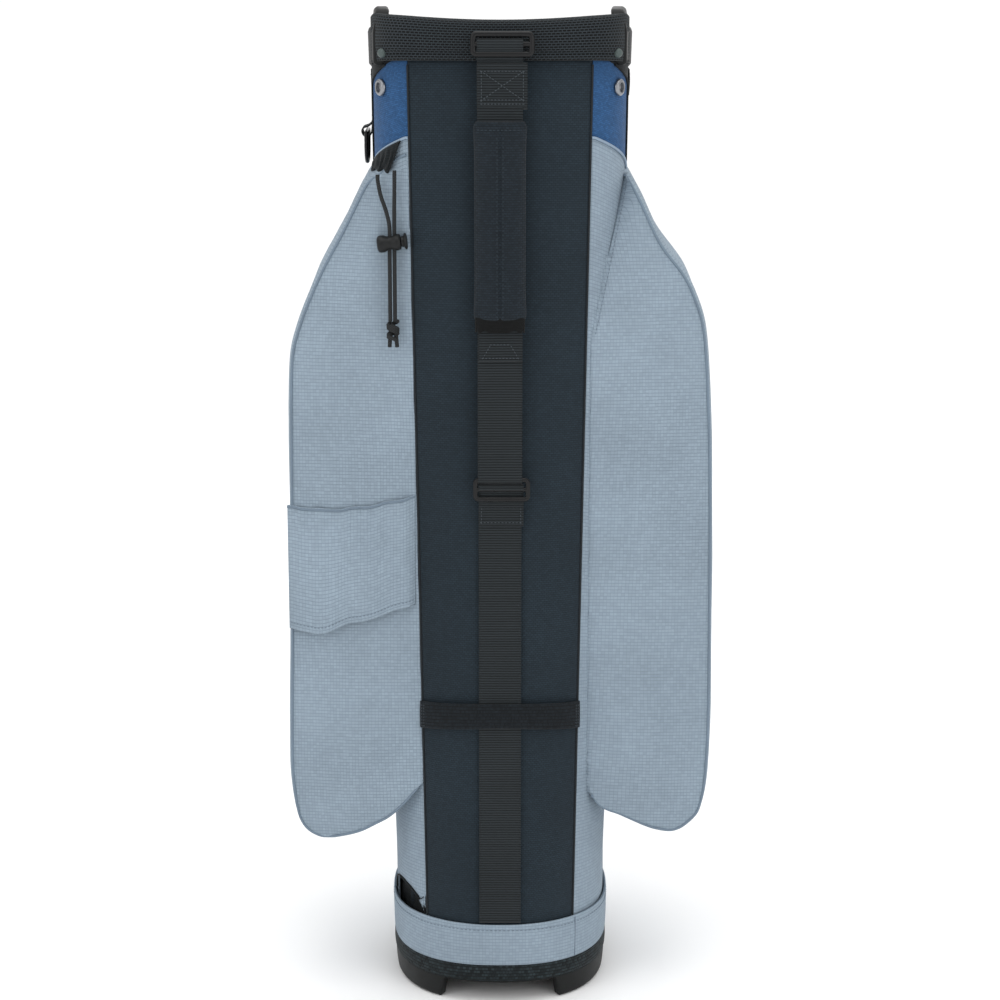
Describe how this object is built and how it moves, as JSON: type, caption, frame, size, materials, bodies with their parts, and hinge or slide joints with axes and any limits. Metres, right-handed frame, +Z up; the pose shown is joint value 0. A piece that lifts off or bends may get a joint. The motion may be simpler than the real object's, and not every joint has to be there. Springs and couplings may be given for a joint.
{
  "type": "golf cart bag",
  "caption": "Golf cart bag with a divided moulded top, padded carry strap, side and front pockets, and a moulded base.",
  "frame": {"origin": "on the floor, in the middle of the whole bag's footprint, pockets and strap included", "axes": "+Z up along the bag, -Y towards the spine panel that carries the strap, +X to the right when the strap faces the viewer"},
  "size_m": [0.3928, 0.3311, 0.914],
  "materials": {
    "grey_cloth": "matte",
    "black_cloth": "matte",
    "blue_cloth": "matte",
    "spacer_mesh": "matte",
    "webbing": "matte",
    "elastic_cord": "matte",
    "moulding": "satin",
    "hardware": "gloss",
    "zip_metal": "satin",
    "snap_metal": "polished",
    "rod_metal": "satin"
  },
  "bodies": {
    "root": {"base_cup": "moulding", "base_floor": "moulding", "collar_ring": "moulding", "divider_grid": "moulding", "base_binding": "webbing", "strap_end_upper": "webbing", "strap_end_lower": "webbing", "spine_webbing": "webbing", "cart_elastic": "webbing", "towel_ring_tab": "webbing", "side_tab": "webbing", "cord_channel": "webbing", "side_left_zip": "webbing", "side_right_zip": "webbing", "ball_zip": "webbing", "accessory_zip": "webbing", "base_band": "grey_cloth", "side_panel_left": "grey_cloth", "side_panel_right": "grey_cloth", "front_panel": "grey_cloth", "side_pocket_left": "grey_cloth", "side_pocket_right": "grey_cloth", "umbrella_sleeve": "grey_cloth", "ball_pocket": "grey_cloth", "accessory_pocket": "grey_cloth", "spine_panel": "black_cloth", "divider_sheet_1": "black_cloth", "divider_sheet_2": "black_cloth", "divider_sheet_3": "black_cloth", "corner_panel_left": "blue_cloth", "corner_panel_right": "blue_cloth", "collar_pad": "spacer_mesh", "umbrella_cup": "spacer_mesh", "bungee_left": "elastic_cord", "bungee_right": "elastic_cord", "bungee_knot": "elastic_cord", "strap_triglide_upper": "hardware", "strap_triglide_lower": "hardware", "collar_rivet_left": "hardware", "collar_rivet_right": "hardware", "hood_snap_left": "snap_metal", "hood_snap_right": "snap_metal", "stay_rod_left": "rod_metal", "stay_rod_right": "rod_metal"},
    "strap": {"strap_webbing": "webbing"},
    "strap_pad": {"strap_pad": "black_cloth"},
    "towel_ring": {"towel_ring": "hardware"},
    "cord_lock": {"cord_lock_body": "moulding"},
    "cord_lock_button": {"cord_lock_button": "hardware"},
    "side_left_slider": {"side_left_slider": "zip_metal"},
    "side_left_pull": {"side_left_pull": "zip_metal"},
    "side_right_slider": {"side_right_slider": "zip_metal"},
    "side_right_pull": {"side_right_pull": "zip_metal"},
    "ball_slider": {"ball_slider": "zip_metal"},
    "ball_pull": {"ball_pull": "zip_metal"},
    "accessory_slider": {"accessory_slider": "zip_metal"},
    "accessory_pull": {"accessory_pull": "zip_metal"}
  },
  "joints": [
    {"name": "strap_lift", "type": "slide", "parent": "root", "child": "strap", "axis": [0, -1, 0], "range_m": [0, 0.03]},
    {"name": "strap_pad_slide", "type": "slide", "parent": "strap", "child": "strap_pad", "axis": [0, 0, 1], "range_m": [-0.02, 0.006]},
    {"name": "towel_ring_swing", "type": "hinge", "parent": "root", "child": "towel_ring", "pos_m": [-0.1205, -0.027, 0.801], "axis": [0, 1, 0], "range_deg": [0, 100]},
    {"name": "cord_lock_slide", "type": "slide", "parent": "root", "child": "cord_lock", "axis": [0, 0, 1], "range_m": [-0.06, 0.004]},
    {"name": "cord_lock_press", "type": "slide", "parent": "cord_lock", "child": "cord_lock_button", "axis": [-1, 0, 0], "range_m": [0, 0.003], "stiffness_N_per_m": 400},
    {"name": "side_left_zip_slide", "type": "slide", "parent": "root", "child": "side_left_slider", "axis": [0, 0, 1], "range_m": [-0.37, 0]},
    {"name": "side_left_pull_swing", "type": "hinge", "parent": "side_left_slider", "child": "side_left_pull", "pos_m": [-0.158, 0.0381, 0.63], "axis": [1, 0, 0], "range_deg": [0, 150]},
    {"name": "side_right_zip_slide", "type": "slide", "parent": "root", "child": "side_right_slider", "axis": [0, 0, 1], "range_m": [-0.37, 0]},
    {"name": "side_right_pull_swing", "type": "hinge", "parent": "side_right_slider", "child": "side_right_pull", "pos_m": [0.158, 0.0381, 0.63], "axis": [1, 0, 0], "range_deg": [0, 150]},
    {"name": "ball_zip_slide", "type": "slide", "parent": "root", "child": "ball_slider", "axis": [0, 0, 1], "range_m": [-0.138, 0]},
    {"name": "ball_pull_swing", "type": "hinge", "parent": "ball_slider", "child": "ball_pull", "pos_m": [0.05, 0.164, 0.276], "axis": [1, 0, 0], "range_deg": [0, 150]},
    {"name": "accessory_zip_slide", "type": "slide", "parent": "root", "child": "accessory_slider", "axis": [0, 0, 1], "range_m": [-0.196, 0]},
    {"name": "accessory_pull_swing", "type": "hinge", "parent": "accessory_slider", "child": "accessory_pull", "pos_m": [0.044, 0.1501, 0.594], "axis": [1, 0, 0], "range_deg": [0, 150]}
  ]
}
